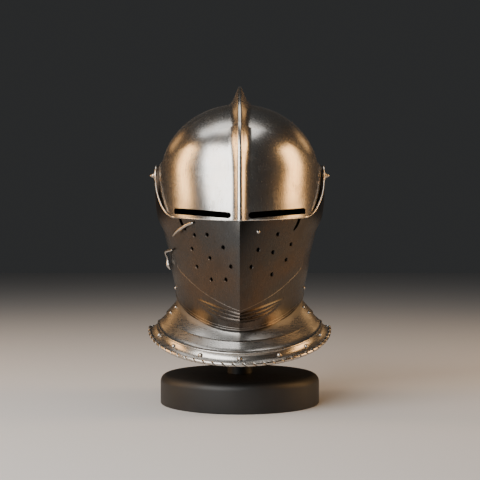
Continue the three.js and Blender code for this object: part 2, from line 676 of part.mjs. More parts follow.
// Bent rod that tapers: places on a face, how far they stand out of it, and radii
function taperedRod(shell, places, sides) {
  const centres = places.map(({ z, turn, proud }) => (
    sectionPoint(shell, 0, z, turn).addScaledVector(sectionNormal(shell, z, turn), proud)));
  const curve = new THREE.CatmullRomCurve3(centres);
  const steps = places.length - 1;
  const frames = curve.computeFrenetFrames(steps * 2, false);
  const positions = [];
  for (let step = 0; step <= steps * 2; step += 1) {
    const centre = curve.getPoint(step / (steps * 2));
    const low = places[Math.floor(step / 2)];
    const high = places[Math.ceil(step / 2)];
    const radius = (low.radius + high.radius) / 2;
    for (let side = 0; side < sides; side += 1) {
      const angle = (2 * Math.PI * side) / sides;
      const point = centre.clone()
        .addScaledVector(frames.normals[step], radius * Math.cos(angle))
        .addScaledVector(frames.binormals[step], radius * Math.sin(angle));
      positions.push(point.x, point.y, point.z);
    }
  }
  const first = positions.length / 3;
  positions.push(...centres[0].toArray(), ...centres[steps].toArray());
  const faces = [];
  for (let side = 0; side < sides; side += 1) {
    const next = (side + 1) % sides;
    for (let step = 0; step < steps * 2; step += 1) {
      const a = step * sides + side;
      const b = step * sides + next;
      faces.push(a, b, a + sides, b, b + sides, a + sides);
    }
    const end = steps * 2 * sides;
    faces.push(first, next, side, first + 1, end + side, end + next);
  }
  const geometry = new THREE.BufferGeometry();
  geometry.setAttribute("position", new THREE.Float32BufferAttribute(positions, 3));
  geometry.setIndex(faces);
  return geometry;
}

// Closed mesh as a solid, with its faces turned outwards if they point in
function asSolid(geometry) {
  const body = solid(geometry);
  return body.volume() > 0 ? body : solid(flipped(geometry));
}

addMesh("lifting_peg", geometryOf(asSolid(taperedRod(UPPER_BEVOR, PEG, 8))), "brightSteel");

// Hook that turns on a round head at the jaw, over the upper bevor's edge
const headPoint = sectionPoint(LOWER_BEVOR, 0, HOOK_HEAD.z, HOOK_HEAD.turn);
const headNormal = sectionNormal(LOWER_BEVOR, HOOK_HEAD.z, HOOK_HEAD.turn);
const head = new THREE.LatheGeometry(
  HOOK_STUD.map(({ across, along }) => new THREE.Vector2(across, along)),
  10,
);
head.applyQuaternion(new THREE.Quaternion().setFromUnitVectors(new THREE.Vector3(0, 1, 0), headNormal));
head.translate(headPoint.x, headPoint.y, headPoint.z);
const hook = solid(head).add(asSolid(taperedRod(LOWER_BEVOR, HOOK, 8)));
addMesh("swivel_hook", geometryOf(hook), "brightSteel");

export default group;
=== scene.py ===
"""Finish of a close helmet on its display stand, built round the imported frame.

Metres in Blender, millimetres in the tables. The helmet faces -Y and +Z is up.
"""

import math

import bpy
import numpy as np
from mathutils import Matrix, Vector


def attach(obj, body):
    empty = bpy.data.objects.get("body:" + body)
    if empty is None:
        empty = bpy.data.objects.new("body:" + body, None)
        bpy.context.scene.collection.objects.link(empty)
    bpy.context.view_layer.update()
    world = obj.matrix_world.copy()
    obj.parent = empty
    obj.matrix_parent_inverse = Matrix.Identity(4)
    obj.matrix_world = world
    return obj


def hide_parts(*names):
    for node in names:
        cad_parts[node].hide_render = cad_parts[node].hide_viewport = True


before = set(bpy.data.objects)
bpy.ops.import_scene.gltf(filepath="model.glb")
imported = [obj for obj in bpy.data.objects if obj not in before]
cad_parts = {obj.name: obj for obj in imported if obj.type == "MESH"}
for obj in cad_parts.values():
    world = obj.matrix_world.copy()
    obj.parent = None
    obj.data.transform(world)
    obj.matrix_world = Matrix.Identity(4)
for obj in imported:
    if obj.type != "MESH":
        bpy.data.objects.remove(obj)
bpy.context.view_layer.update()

# Driving sizes, in millimetres
MM = 0.001
PIVOT_Z = 272.0
DOME_RISE = 84.6
PLATE = 1.4
FAR = 400.0
FRONT_NEAR = -190
FRONT_FAR = -10
COMB_ROUND = 2.0
COMB_POWER = 1.9


def table(names, *rows):
    """Columns of a small table by name."""
    return dict(zip(names.split(), np.array(rows, dtype=float).T))


SKULL = {
    "dome": DOME_RISE,
    "comb": table(
        "angle rise foot",
        (-40, 3, 7), (20, 6, 8), (50, 15, 11.5), (90, 21.5, 12.5),
        (130, 20, 12.5), (175, 12, 11), (215, 3.5, 9), (245, 1, 8),
    ),
    "sections": table(
        "z half front back keel",
        (60, 68, 78, 80, 0), (105, 69.5, 82, 82, 0), (126, 71.5, 86, 84, 0), (150, 76, 96, 92, 0),
        (180, 82, 106, 102, 0), (210, 88, 112, 109.5, 0), (240, 92.4, 115, 113, 0),
        (272, 94, 115.5, 113.5, 0),
    ),
}
VISOR = {
    "dome": DOME_RISE + 2.6,
    "comb": table(
        "angle rise foot",
        (-40, 5, 9), (-20, 5.2, 9), (0, 6, 9.5), (20, 8.2, 11.5), (45, 11.5, 14),
    ),
    "sections": table(
        "z half front back keel",
        (60, 80, 128, 90, 0.12), (200, 92.4, 130, 90, 0.12), (216, 94, 129.5, 100, 0.12),
        (240, 96, 127.5, 110, 0.1), (272, 96.9, 122, 116, 0.06),
    ),
}
UPPER_BEVOR = {
    "dome": DOME_RISE + 8,
    "sections": table(
        "z half front back keel",
        (60, 73, 108, 90, 0.46), (100, 74, 114.5, 90, 0.46), (117, 75.8, 118, 90, 0.46),
        (140, 79.6, 121, 95, 0.45), (159, 84, 123.5, 100, 0.42), (182, 88.4, 125.8, 105, 0.35),
        (202, 93, 127, 110, 0.27), (222, 98.4, 127, 112, 0.18), (244, 101.1, 126, 114, 0.14),
        (272, 101.4, 122, 116, 0.1),
    ),
}
LOWER_BEVOR = {
    "dome": DOME_RISE + 6,
    "sections": table(
        "z half front back keel",
        (60, 72, 92, 88, 0.05), (94, 73.5, 101, 88, 0.1), (104, 74.3, 107.5, 88, 0.3),
        (117, 75.2, 114.3, 88, 0.46), (140, 77.8, 117.6, 92, 0.465), (159, 81.6, 119.9, 97, 0.44),
        (182, 85.3, 121.9, 102, 0.37), (202, 90.3, 122.7, 107, 0.29), (222, 95.7, 122.7, 110, 0.2),
        (244, 98.4, 121.5, 112, 0.15), (272, 98.8, 118.5, 114, 0.11),
    ),
}

# Outlines seen from the side, as distance forward of the pivots and level
SKULL_OUTLINE = [
    (130, 312), (104, 304), (70, 288), (40, 276), (18, 262), (8, 246), (4, 200), (3, 160),
    (2, 131), (-20, 129.5), (-50, 128), (-90, 127.5), (-150, 127.5), (-150, 420), (130, 420),
]
VISOR_OUTLINE = [
    (160, 214.8), (130, 216.6), (93, 219.4), (78, 220.2), (66, 220.2), (57, 222.2), (46, 228.5),
    (29, 243), (12, 256), (0, 260), (-9, 264), (-12, 272), (-9, 280), (0, 284), (14, 284),
    (44, 287), (79, 297), (92, 309), (100, 324), (160, 352),
]
UPPER_BEVOR_OUTLINE = [
    (160, 99), (118, 117), (101, 125.5), (80, 137), (59, 152.5), (50, 159), (46.5, 166),
    (48, 175), (50, 183), (49, 190), (43, 198), (33, 207.5), (19, 218.5), (4, 230), (-8, 243),
    (-13.5, 257), (-14.5, 272), (-10, 281), (0, 285), (9, 281), (14, 268), (24, 256), (38, 243),
    (51, 230.6), (61, 224.2), (73, 221.4), (84, 219.8), (100, 218.6), (160, 218.1),
]
LOWER_BEVOR_OUTLINE = [
    (160, 75), (101, 94), (0.6, 126.5),
    (-3, 140), (-6, 170), (-9, 210), (-12, 250), (-13, 272), (-9, 281), (0, 285), (9, 281),
    (13, 270), (16, 254), (24, 232), (38, 211), (62, 199), (90, 192), (160, 188),
]

# Rings of the gorget
RINGS = table(
    "side rear_side side_z front front_z rear rear_z keel",
    (71.8, 69.1, 127.3, 96.9, 96.2, 80.2, 127.5, 0.1),
    (88, 86, 109, 104.5, 84, 91, 107, 0.06),
    (83.5, 81.5, 112, 100.5, 88, 87.5, 110.5, 0.06),
    (97.4, 95.6, 98, 110, 70.5, 98.5, 94, 0),
    (107.5, 106, 90, 115.5, 58.5, 108, 82, 0),
)
NECK, LAME_EDGE, TUCK, BEAD, RIM = range(5)
ROLL = 1.3
SEAM = 0.25
FRONT_HALF = (SEAM - 90, 90 - SEAM)
REAR_HALF = (SEAM + 90, 270 - SEAM)

# Breath holes, as across and level
BREATHS = [
    (-51, 201), (-36.5, 201.5), (-18.5, 187.5), (-10, 166.5), (-15.5, 152), (-32, 151.5),
    (-48.5, 165.5), (-54, 185.5), (-33.5, 175.5),
    (42.5, 202), (58, 190.5), (52.5, 173), (36, 157), (12.7, 166), (20.5, 185), (37, 182),
]
BREATH_RADIUS = 2.1

# Peg and hook, as level, turn, distance proud of the face and radius
PEG = table(
    "z turn proud radius",
    (215.6, -31.5, 1.7, 1.3), (212.6, -37.5, 3.4, 1.8), (206.5, -45.5, 5.6, 1.7), (201, -50.5, 6.4, 0.5),
)
HOOK = table(
    "z turn proud radius",
    (159.5, -79.5, 2, 0.6), (166, -80, 3.8, 1.9), (173, -80, 3.4, 1), (180, -77.5, 5, 1.1),
    (183.6, -68, 6.8, 1.3), (185.2, -57.5, 6.6, 0.9),
)
HOOK_HEAD = (166, -80)

# Rivets, with turns round the neck or level and turn
RIVET = 2.7
SMALL_RIVET = 2.1
RIVET_SIDES = 28
FRONT_RIVETS = (-70, -49, -26, 0, 26, 49, 70)
REAR_RIVETS = (110, 133, 156, 180, 204, 227, 250)
LAME_RIVET_TURN = 79
LAME_RIVET_SHARES = (0.36, 0.74)
LAME_SAG = 0.5
CHEEK_RIVET = (138, 79)
BROW_RIVET = (204.6, 12.5)

# Openings, chin, rope, studs and stand
SLIT = {"height": 6.8, "inner_x": 9.5, "outer_x": 74.5, "inner_z": 222.6, "outer_z": 228.2}
SLIT_CORNER = 2.2
SLOT = [(67.4, 224), (63.2, 212), (59.8, 206.6), (61, 205.6), (66.2, 211.4), (70.4, 224)]
CHIN = {
    "half": 50, "top": 114.7, "top_rise": 14, "bottom": 104.3, "bottom_rise": 24.5,
    "height": 1.5, "ridges": 3,
}
ROPE = {"radius": 2.4, "notch": 0.42, "pitch": 11.4, "sides": 24}
VISOR_LIFTS = (0, 2.5, 5, 7.5, 10)
STUD = {"base": 4.6, "shank": 2.4, "tip": 107.6, "seat": 101.7, "inner": 91, "head": 4.8, "bore": 2.8}
STAND = {"radius": 95, "height": 35, "edge": 9, "post": 15, "pad": 46, "top": 350, "gap": 0.3}


def read(rows, key, place, column):
    """Cubic through a table's rows, with each row's slope taken between its neighbours."""
    knots = rows[key]
    values = rows[column]
    slopes = np.empty_like(values)
    slopes[1:-1] = (values[2:] - values[:-2]) / (knots[2:] - knots[:-2])
    slopes[0] = (values[1] - values[0]) / (knots[1] - knots[0])
    slopes[-1] = (values[-1] - values[-2]) / (knots[-1] - knots[-2])
    place = np.clip(place, knots[0], knots[-1])
    low = np.clip(np.searchsorted(knots, place, side="left") - 1, 0, len(knots) - 2)
    step = knots[low + 1] - knots[low]
    share = (place - knots[low]) / step
    ease = share * share * (3 - 2 * share)
    leave = share * (1 - share) ** 2 * step
    arrive = share * share * (share - 1) * step
    blend = values[low] * (1 - ease) + values[low + 1] * ease
    return blend + slopes[low] * leave + slopes[low + 1] * arrive


def within(shell, inset, x, y, z):
    """True inside the level sections: |y| is under the reach times the blend of round and straight plan."""
    rows = shell["sections"]
    level = np.minimum(z, PIVOT_Z)
    rise = np.maximum(z - PIVOT_Z, 0) / (shell["dome"] - inset)
    shrink = np.sqrt(np.maximum(1 - rise * rise, 0))
    half = (read(rows, "z", level, "half") - inset) * shrink
    across = np.abs(x) / np.maximum(half, 1e-6)
    front = y < 0
    reach = np.where(front, read(rows, "z", level, "front"), read(rows, "z", level, "back")) - inset
    keel = np.where(front, read(rows, "z", level, "keel"), 0)
    depth = (1 - keel) * np.sqrt(np.maximum(1 - across ** 2, 0)) + keel * (1 - across)
    return (across < 1) & (rise < 1) & (np.abs(y) < reach * shrink * depth)


def distance(shell, inset, x, angle):
    """Distance from the pivot axis to the face, halved down 24 times in each half plane."""
    x, angle = np.broadcast_arrays(x, np.radians(angle))
    near = np.zeros(x.shape)
    far = np.full(x.shape, FAR)
    for _ in range(24):
        middle = (near + far) / 2
        z = PIVOT_Z + middle * np.sin(angle)
        inside = within(shell, inset, x, -middle * np.cos(angle), z) & (z > 30)
        near = np.where(inside, middle, near)
        far = np.where(inside, far, middle)
    return near


def comb_rise(shell, inset, x, angle):
    """Height of the comb: its rise times (1 - distance over foot) to a power, rounded over at the crest."""
    rise = read(shell["comb"], "angle", angle, "rise")
    foot = read(shell["comb"], "angle", angle, "foot")
    away = np.clip((((np.abs(x) + inset) ** 4 + COMB_ROUND ** 4) ** 0.25 - COMB_ROUND) / foot, 0, 1)
    return np.maximum(rise * (1 - away) ** COMB_POWER - inset, 0)


def radial_surface(shell, inset, columns, angles):
    """Closed surface about the pivot axis: columns across it, angles round it, a pole at each temple."""
    half = shell["sections"]["half"][-1] - inset
    x = (columns * half)[:, None]
    turn = angles[None, :]
    reach = distance(shell, inset, x, turn) + comb_rise(shell, inset, x, turn)
    grid = np.stack(np.broadcast_arrays(
        x, -reach * np.cos(np.radians(turn)), PIVOT_Z + reach * np.sin(np.radians(turn)),
    ), axis=-1)
    poles = np.array([(-half, 0, PIVOT_Z), (half, 0, PIVOT_Z)])
    return capped_grid(grid, poles, outward=False)


def capped_grid(grid, poles, outward):
    """Quads over a grid whose rows close on themselves, with a fan from each end row to its pole."""
    rows, around = grid.shape[:2]
    index = np.arange(rows * around).reshape(rows, around)
    after = np.roll(index, -1, axis=1)
    quads = np.stack([index[:-1], after[:-1], after[1:], index[1:]], axis=-1).reshape(-1, 4)
    first = np.full(around, rows * around)
    start = np.stack([first, after[0], index[0]], axis=-1)
    finish = np.stack([first + 1, index[-1], after[-1]], axis=-1)
    points = np.concatenate([grid.reshape(-1, 3), poles])
    if not outward:
        quads, start, finish = quads[:, ::-1], start[:, ::-1], finish[:, ::-1]
    return points, quads.tolist() + start.tolist() + finish.tolist()


def section_point(shell, inset, z, turn):
    """Point of a level section: x is half the width times the turn's sine, y mixes round and straight."""
    rows = shell["sections"]
    z, turn = np.broadcast_arrays(np.asarray(z, float), np.radians(np.asarray(turn, float)))
    level = np.minimum(z, PIVOT_Z)
    shrink = np.sqrt(np.maximum(1 - (np.maximum(z - PIVOT_Z, 0) / shell["dome"]) ** 2, 0))
    cosine = np.cos(turn)
    across = np.sin(turn)
    front = cosine > 0
    keel = np.where(front, read(rows, "z", level, "keel"), 0)
    reach = np.where(front, read(rows, "z", level, "front"), read(rows, "z", level, "back")) - inset
    depth = (1 - keel) * cosine + keel * np.sign(cosine) * (1 - np.abs(across))
    half = read(rows, "z", level, "half") - inset
    return np.stack([half * shrink * across, -reach * shrink * depth, z], axis=-1)


def section_normal(shell, z, turn):
    """Outward direction: the sideways step crossed with the upward step."""
    z, turn = np.broadcast_arrays(np.asarray(z, float), np.asarray(turn, float))
    sideways = section_point(shell, 0, z, turn + 1) - section_point(shell, 0, z, turn - 1)
    upwards = section_point(shell, 0, z + 2, turn) - section_point(shell, 0, z - 2, turn)
    return unit(np.cross(sideways, upwards))


def unit(vectors):
    """Vectors over their lengths."""
    return vectors / np.maximum(np.linalg.norm(vectors, axis=-1, keepdims=True), 1e-9)


def level_surface(shell, inset, levels, turns, relief=None):
    """Closed surface through level sections, flat above and below, with relief pushed out of the face."""
    grid = section_point(shell, inset, levels[:, None], turns[None, :])
    if relief is not None:
        away = grid * np.array([1, 1, 0])
        grid = grid + unit(away) * relief(grid)[..., None]
    poles = np.array([(0, 0, levels[0]), (0, 0, levels[-1])])
    return capped_grid(grid, poles, outward=True)


def mesh_object(name, points, faces, smooth=True):
    """Mesh from points in millimetres and faces, at the origin."""
    mesh = bpy.data.meshes.new(name)
    mesh.from_pydata((np.asarray(points) * MM).tolist(), [], faces)
    mesh.update()
    if smooth:
        mesh.polygons.foreach_set("use_smooth", np.ones(len(mesh.polygons), dtype=bool))
    piece = bpy.data.objects.new(name, mesh)
    bpy.context.scene.collection.objects.link(piece)
    return piece


def carve(piece, cutter, operation="DIFFERENCE"):
    """Cuts a piece with a closed cutter, keeps the result as its mesh and removes the cutter."""
    cut = piece.modifiers.new("cut", "BOOLEAN")
    cut.operation = operation
    cut.solver = "MANIFOLD"
    cut.object = cutter
    graph = bpy.context.evaluated_depsgraph_get()
    mesh = bpy.data.meshes.new_from_object(piece.evaluated_get(graph))
    piece.modifiers.clear()
    old = piece.data
    piece.data = mesh
    bpy.data.meshes.remove(old)
    bpy.data.objects.remove(cutter)
    return piece


def rounded(outline, times=3):
    """Outline with its corners cut by a quarter of each side, several times over."""
    points = np.array(outline, dtype=float)
    for _ in range(times):
        after = np.roll(points, -1, axis=0)
        cut = np.stack([0.75 * points + 0.25 * after, 0.25 * points + 0.75 * after], axis=1)
        points = cut.reshape(-1, 2)
    return points


def prism(name, start, end):
    """Closed prism between two copies of an outline, whose points run anticlockwise about start to end."""
    count = len(start)
    index = np.arange(count)
    after = np.roll(index, -1)
    sides = np.stack([index, after, after + count, index + count], axis=-1)
    faces = sides.tolist() + [index[::-1].tolist(), (index + count).tolist()]
    piece = mesh_object(name, np.concatenate([start, end]), faces, smooth=False)
    return outward(piece)


def outward(piece):
    """Turns a closed mesh's faces outwards if its volume comes out negative."""
    mesh = piece.data
    mesh.calc_loop_triangles()
    corners = np.empty(len(mesh.loop_triangles) * 3, dtype=np.int32)
    mesh.loop_triangles.foreach_get("vertices", corners)
    points = np.empty(len(mesh.vertices) * 3)
    mesh.vertices.foreach_get("co", points)
    a, b, c = points.reshape(-1, 3)[corners].reshape(-1, 3, 3).transpose(1, 0, 2)
    if np.einsum("ij,ij->i", a, np.cross(b, c)).sum() < 0:
        mesh.flip_normals()
    return piece


def side_prism(outline):
    """Prism right across the helmet from an outline seen from the side."""
    flat = rounded(outline)
    wide = FAR / 2
    start = np.stack([np.full(len(flat), -wide), -flat[:, 0], flat[:, 1]], axis=-1)
    return prism("side_prism", start, start + (FAR, 0, 0))


def front_prism(flat, near, far):
    """Prism from front to back from an outline seen from the front."""
    flat = np.asarray(flat, dtype=float)
    start = np.stack([flat[:, 0], np.full(len(flat), near), flat[:, 1]], axis=-1)
    return prism("front_prism", start, start + (0, far - near, 0))


def circle(centre, radius, count):
    """Points of a circle in a plane."""
    angle = np.linspace(0, 2 * np.pi, count, endpoint=False)
    return np.stack([centre[0] + radius * np.cos(angle), centre[1] + radius * np.sin(angle)], axis=-1)


def joined(pieces):
    """One object from several, by their points and faces put after one another."""
    points = []
    faces = []
    total = 0
    for piece in pieces:
        mesh = piece.data
        flat = np.empty(len(mesh.vertices) * 3)
        mesh.vertices.foreach_get("co", flat)
        points.append(flat.reshape(-1, 3) / MM)
        corners = np.empty(len(mesh.loops), dtype=np.int32)
        mesh.loops.foreach_get("vertex_index", corners)
        starts = np.empty(len(mesh.polygons), dtype=np.int32)
        mesh.polygons.foreach_get("loop_start", starts)
        faces += [face.tolist() for face in np.split(corners + total, starts[1:])]
        total += len(mesh.vertices)
        bpy.data.objects.remove(piece)
    return mesh_object("joined", np.concatenate(points), faces, smooth=False)


def pivot_bore():
    """Cylinder along the pivot axis."""
    ring = circle((0, PIVOT_Z), STUD["bore"], 32)
    wide = FAR / 2
    start = np.stack([np.full(len(ring), -wide), ring[:, 0], ring[:, 1]], axis=-1)
    return prism("bore", start, start + (FAR, 0, 0))


def swept(name, path, outwards, radius, sides=12):
    """Closed tube: rings of the radius round each path point, square to the path, with a pole at each end.

    radius is one number, one for each point, or a function of the path and the angles round the tube."""
    path = np.asarray(path, dtype=float)
    along = unit(np.gradient(path, axis=0))
    side = unit(np.cross(along, outwards))
    up = np.cross(side, along)
    angle = np.linspace(0, 2 * np.pi, sides, endpoint=False)
    if callable(radius):
        reach = radius(path, angle)
    else:
        reach = np.broadcast_to(np.reshape(radius, (-1, 1)), (len(path), sides))
    grid = path[:, None] + reach[..., None] * (
        np.cos(angle)[None, :, None] * up[:, None] + np.sin(angle)[None, :, None] * side[:, None])
    piece = mesh_object(name, *capped_grid(grid, np.stack([path[0], path[-1]]), outward=True))
    return outward(piece)


def lathe(name, profile, sides=64, axis=(0, 0, 1), seat=(0, 0, 0)):
    """Closed turned solid: profile of radius and height about an axis that stands on seat."""
    profile = np.asarray(profile, dtype=float)
    angle = np.linspace(0, 2 * np.pi, sides, endpoint=False)
    axis = unit(np.asarray(axis, dtype=float))
    helper = np.array([0.0, 0.0, 1.0]) if abs(axis[2]) < 0.9 else np.array([1.0, 0.0, 0.0])
    first = unit(np.cross(helper, axis))
    second = np.cross(axis, first)
    ring = np.cos(angle)[:, None] * first + np.sin(angle)[:, None] * second
    grid = profile[:, 0, None, None] * ring[None] + profile[:, 1, None, None] * axis
    poles = np.stack([profile[0, 1] * axis, profile[-1, 1] * axis])
    points, faces = capped_grid(grid, poles, outward=True)
    return outward(mesh_object(name, points + np.asarray(seat, dtype=float), faces))


def mark(piece, shade):
    """Point attribute from 0 for clean metal to 1 for dark, which the steels read: blackened inner faces,
    and painted shade on rivet feet, rope notches, gaps and the lame's tucked edge.
    """
    made = piece.data.attributes.new("inside", "FLOAT", "POINT")
    made.data.foreach_set("value", shade.astype(np.float32))
    return piece


def crease(piece, degrees):
    """Keeps edges sharper than an angle crisp."""
    piece.data.set_sharp_from_angle(angle=math.radians(degrees))
    return piece


def spline(points, steps):
    """Points along a cubic curve through the rows of a short array, even in the row count."""
    points = np.asarray(points, dtype=float)
    place = np.linspace(0, len(points) - 1, steps)
    low = np.clip(place.astype(int), 0, len(points) - 2)
    share = (place - low)[:, None]
    slopes = np.gradient(points, axis=0)
    ease = share * share * (3 - 2 * share)
    return (points[low] * (1 - ease) + points[low + 1] * ease
            + slopes[low] * share * (1 - share) ** 2 + slopes[low + 1] * share * share * (share - 1))


def even_steps(path, step):
    """Path with points at even steps along its length."""
    run = np.concatenate([[0], np.cumsum(np.linalg.norm(np.diff(path, axis=0), axis=1))])
    places = np.linspace(0, run[-1], max(int(run[-1] / step), 4))
    return np.stack([np.interp(places, run, path[:, axis]) for axis in range(path.shape[1])], axis=-1)


def edge_path(shell, outline, first, last, up=0.0, sink=0.0, step=1.2):
    """Line on a shell's face over part of a side outline, right round the front.

    For each point of the outline, the side distance is halved down until the face is as far from the
    pivots as the point."""
    flat = rounded(outline)[8 * first:8 * last] + (0, up)
    flat = even_steps(flat, 0.15)
    reach = np.hypot(flat[:, 0], flat[:, 1] - PIVOT_Z)
    angle = np.degrees(np.arctan2(flat[:, 1] - PIVOT_Z, flat[:, 0]))

    def face(x):
        """Distance from the pivot axis to the face at x."""
        rise = comb_rise(shell, 0, x, angle) if "comb" in shell else 0
        return distance(shell, 0, x, angle) + rise

    near = np.zeros(len(flat))
    far = np.full(len(flat), shell["sections"]["half"][-1] + 1)
    for _ in range(16):
        middle = (near + far) / 2
        beyond = face(middle) > reach
        near = np.where(beyond, middle, near)
        far = np.where(beyond, far, middle)
    kept = face(np.zeros(len(flat))) > reach
    side = np.stack([near, -flat[:, 0], flat[:, 1]], axis=-1)[kept]
    if side[0, 0] > side[-1, 0]:
        side = side[::-1]
    path = even_steps(np.concatenate([side[::-1] * (-1, 1, 1), side]) if side[0, 0] < 4 else side, step)
    return path - unit(path * (1, 1, 0)) * sink


def bead(name, path, radius, fade=0.0):
    """Thin round bead along a path, thinner towards both ends if fade is set."""
    share = np.linspace(0, 1, len(path))
    ends = np.clip(np.minimum(share, 1 - share) / max(fade, 1e-6), 0.25, 1) if fade else np.ones(len(path))
    return swept(name, path, unit(path * (1, 1, 0)), radius * ends, sides=10)


def mirrored(path):
    """The same path on the other side."""
    return path[::-1] * (-1, 1, 1)


def rod(name, shell, rows, steps=48, thick=1.0, sides=20):
    """Bent rod that tapers through a table of places on a face, rounded at its ends."""
    centres = section_point(shell, 0, rows["z"], rows["turn"])
    centres = centres + section_normal(shell, rows["z"], rows["turn"]) * rows["proud"][:, None]
    path = spline(centres, steps)
    radius = spline(rows["radius"][:, None], steps)[:, 0] * thick
    run = np.linspace(0, 1, steps)
    tip = np.sqrt(np.clip(1 - np.clip(1 - np.minimum(run, 1 - run) * 22, 0, 1) ** 2, 0.02, 1))
    return swept(name, path, unit(path * (1, 1, 0)), radius * tip, sides=sides)


def rivet_head(name, point, normal, radius):
    """Low dome on a face with a rounded foot, the foot painted dark as a shadow ring."""
    turn = np.radians(np.linspace(0, 88, 10))
    dome = [(radius * 0.92 * math.cos(t), radius * (0.12 + 0.72 * math.sin(t))) for t in turn]
    foot = [
        (radius * 0.2, 0.02), (radius * 1.12, 0.02), (radius * 1.12, radius * 0.05),
        (radius * 0.94, radius * 0.06),
    ]
    piece = lathe(name, foot + dome, RIVET_SIDES, normal, np.asarray(point) + np.asarray(normal) * 0.05)
    # Painted shadow: the foot rows and the lowest dome row are dark, a shadow ring round the head
    shade = np.append(np.repeat([1, 1, 1, 0.8, 0.2] + [0] * (len(dome) - 1), RIVET_SIDES), (1, 0))
    return mark(piece, shade)


def finish_piece(piece, body, slot, material, *nodes):
    """Rides the piece on its body, gives it its finish, and hides the solids that it stands for. slot is
    not used.
    """
    piece.data.materials.clear()
    piece.data.materials.append(material)
    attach(piece, body)
    if nodes:
        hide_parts(*nodes)
    return piece


UPRIGHT = (1, 1, 22 / 420)
ROUND_THE_NECK = (0.04, 0.04, 1)


class Value:
    """A number socket in a shader, whose operators add Math nodes."""

    def __init__(self, shader, socket):
        self.shader = shader
        self.socket = socket

    def __add__(self, other):
        return self.shader.maths("ADD", self, other)

    def __sub__(self, other):
        return self.shader.maths("SUBTRACT", self, other)

    def __rsub__(self, other):
        return self.shader.maths("SUBTRACT", other, self)

    def __mul__(self, other):
        return self.shader.maths("MULTIPLY", self, other)

    __radd__ = __add__
    __rmul__ = __mul__


class Shader:
    """A node material with its Principled shader."""

    def __init__(self, name):
        self.material = bpy.data.materials.new(name)
        self.material.use_nodes = True
        self.tree = self.material.node_tree
        self.shader = next(node for node in self.tree.nodes if node.type == "BSDF_PRINCIPLED")

    def node(self, kind, settings=(), sockets=(), output=0):
        """Adds a node, sets its properties first and then its sockets' values or links."""
        made = self.tree.nodes.new(kind)
        for key, value in dict(settings).items():
            setattr(made, key, value)
        for key, value in dict(sockets).items():
            self.put(made.inputs[key], value)
        return Value(self, made.outputs[output])

    def put(self, target, value):
        """Links a socket, or sets its value."""
        if isinstance(value, Value):
            self.tree.links.new(value.socket, target)
        else:
            target.default_value = value

    def maths(self, operation, first, second):
        """Math node on two numbers or sockets."""
        return self.node("ShaderNodeMath", {"operation": operation}, {0: first, 1: second})

    def clamped(self, value, low, high):
        """Value moved from low..high to 0..1 and kept there."""
        return self.node(
            "ShaderNodeMapRange", {"interpolation_type": "SMOOTHSTEP"},
            {"Value": value, "From Min": low, "From Max": high, "To Min": 0.0, "To Max": 1.0},
        )

    def place(self, scale):
        """Object coordinates stretched by a scale for each axis."""
        place = self.node("ShaderNodeTexCoord", output=3)
        return self.node("ShaderNodeMapping", (), {"Vector": place, "Scale": scale})

    def noise(self, scale, detail=3.0, rough=0.55, stretch=(1, 1, 1)):
        """Noise on stretched object coordinates."""
        return self.node(
            "ShaderNodeTexNoise", {"noise_dimensions": "3D"},
            {"Vector": self.place(stretch), "Scale": scale, "Detail": detail, "Roughness": rough},
        )

    def mix(self, factor, first, second):
        """Colour between two colours."""
        return self.node("ShaderNodeMix", {"data_type": "RGBA"}, {0: factor, 6: first, 7: second}, output=2)

    def finish(self, **sockets):
        """Sets the Principled shader's sockets, with underscores for spaces."""
        for key, value in sockets.items():
            self.put(self.shader.inputs[key.replace("_", " ")], value)
        return self.material


def steel(name, colour, warm, dark, roughness, patina=0.5, across=UPRIGHT):
    """Satin steel with streaks, warm patina, grime and pits, dark where the inside attribute is set:
    blackened inner faces, and painted shade on rivet feet, rope notches, inner faces seen in the gaps and
    the lame's tucked edge.

    across is how fine the brushing is along each axis, which is upright if it isn't given."""
    shader = Shader(name)
    streaks = shader.noise(2.0, 5.0, 0.6, tuple(420 * share for share in across))
    hairs = shader.noise(2.0, 2.0, 0.5, tuple(1500 * share for share in across))
    bloom = shader.noise(13.0, 4.0, 0.58)
    grime = shader.clamped(shader.noise(38.0, 5.0, 0.58), 0.52, 0.8)
    spots = shader.clamped(shader.noise(210.0, 4.0, 0.6), 0.62, 0.76)
    pits = shader.clamped(shader.noise(620.0, 2.0, 0.5), 0.66, 0.74)
    inside = shader.node("ShaderNodeAttribute", {"attribute_name": "inside"}, output=2)
    tone = shader.mix(shader.clamped(bloom, 0.4, 0.68) * patina, colour, warm)
    worn = shader.mix(grime * (0.5 * patina), tone, dark)
    spotted = shader.mix(spots * (0.3 * patina), worn, dark)
    pitted = shader.mix(pits * 0.35, spotted, dark)
    streaked = shader.mix(shader.clamped(streaks, 0.35, 0.7) * 0.17, pitted, dark)
    # Dark colour: blackened steel inside, and painted shade on rivet feet, rope notches, gaps and under the
    # lame's tucked edge
    oxide_and_shade = shader.mix(shader.clamped(bloom, 0.35, 0.65), (0.03, 0.026, 0.023, 1), (0.06, 0.045, 0.034, 1))
    shown = shader.mix(inside, streaked, oxide_and_shade)
    brushed = roughness + (streaks - 0.5) * 0.14 + (hairs - 0.5) * 0.05
    rough = brushed + grime * 0.08 + spots * 0.07 + inside * 0.3
    height = streaks * 0.5 + hairs * 0.6 - pits * 0.8 - spots * 0.3 + bloom * 0.4
    bump = shader.node(
        "ShaderNodeBump", (), {"Strength": 0.055, "Distance": 0.0004, "Height": height},
    )
    return shader.finish(Base_Color=shown, Metallic=1.0, Roughness=rough, Normal=bump)


